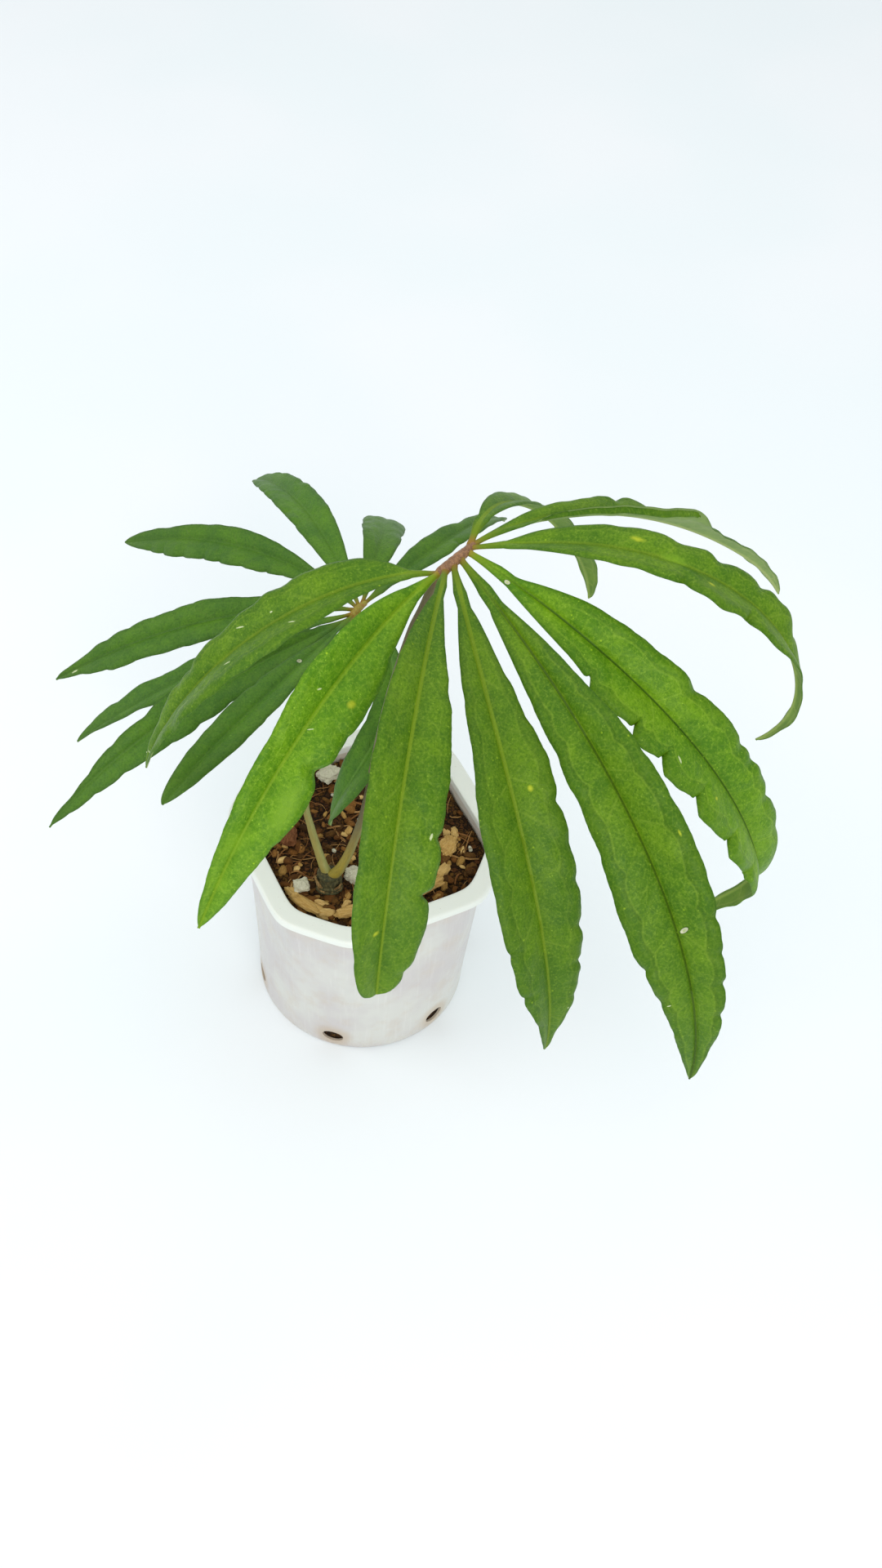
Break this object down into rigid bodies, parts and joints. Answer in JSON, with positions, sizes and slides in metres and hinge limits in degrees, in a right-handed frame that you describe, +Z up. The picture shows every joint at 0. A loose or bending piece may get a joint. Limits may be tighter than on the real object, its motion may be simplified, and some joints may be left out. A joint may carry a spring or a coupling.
{
  "type": "potted anthurium",
  "caption": "Potted anthurium with two finger-like compound leaves, one taller in front and one lower behind, in a small white plastic pot of husk mix.",
  "frame": {"origin": "centre of the pot's flat underside", "axes": "+Z up out of the pot, -Y towards the viewer's side, where the taller leaf hangs over the rim"},
  "size_m": [0.2916, 0.3227, 0.3142],
  "materials": {
    "white_plastic": "satin",
    "husk_mix": "matte",
    "stem": "matte",
    "petiole": "satin",
    "front_leaf": "satin",
    "back_leaf": "satin",
    "pumice": "matte",
    "husk_chip": "matte",
    "bark_chip": "matte"
  },
  "bodies": {
    "root": {"pot": "white_plastic", "soil": "husk_mix", "stem_base": "stem", "front_petiole": "petiole", "back_petiole": "petiole", "front_leaflet_1": "front_leaf", "front_leaflet_2": "front_leaf", "front_leaflet_3": "front_leaf", "front_leaflet_4": "front_leaf", "front_leaflet_5": "front_leaf", "front_leaflet_6": "front_leaf", "front_leaflet_7": "front_leaf", "front_leaflet_8": "front_leaf", "front_leaflet_9": "front_leaf", "back_leaflet_1": "back_leaf", "back_leaflet_2": "back_leaf", "back_leaflet_3": "back_leaf", "back_leaflet_4": "back_leaf", "back_leaflet_5": "back_leaf", "back_leaflet_6": "back_leaf", "back_leaflet_7": "back_leaf", "back_leaflet_8": "back_leaf", "back_leaflet_9": "back_leaf", "pumice_lump_1": "pumice", "pumice_lump_2": "pumice", "pumice_lump_3": "pumice", "husk_chunk_1": "husk_chip", "husk_chunk_2": "husk_chip", "husk_chunk_3": "husk_chip", "husk_chunk_4": "husk_chip", "husk_chunk_5": "husk_chip", "bark_chunk_1": "bark_chip", "bark_chunk_2": "bark_chip"}
  },
  "joints": []
}
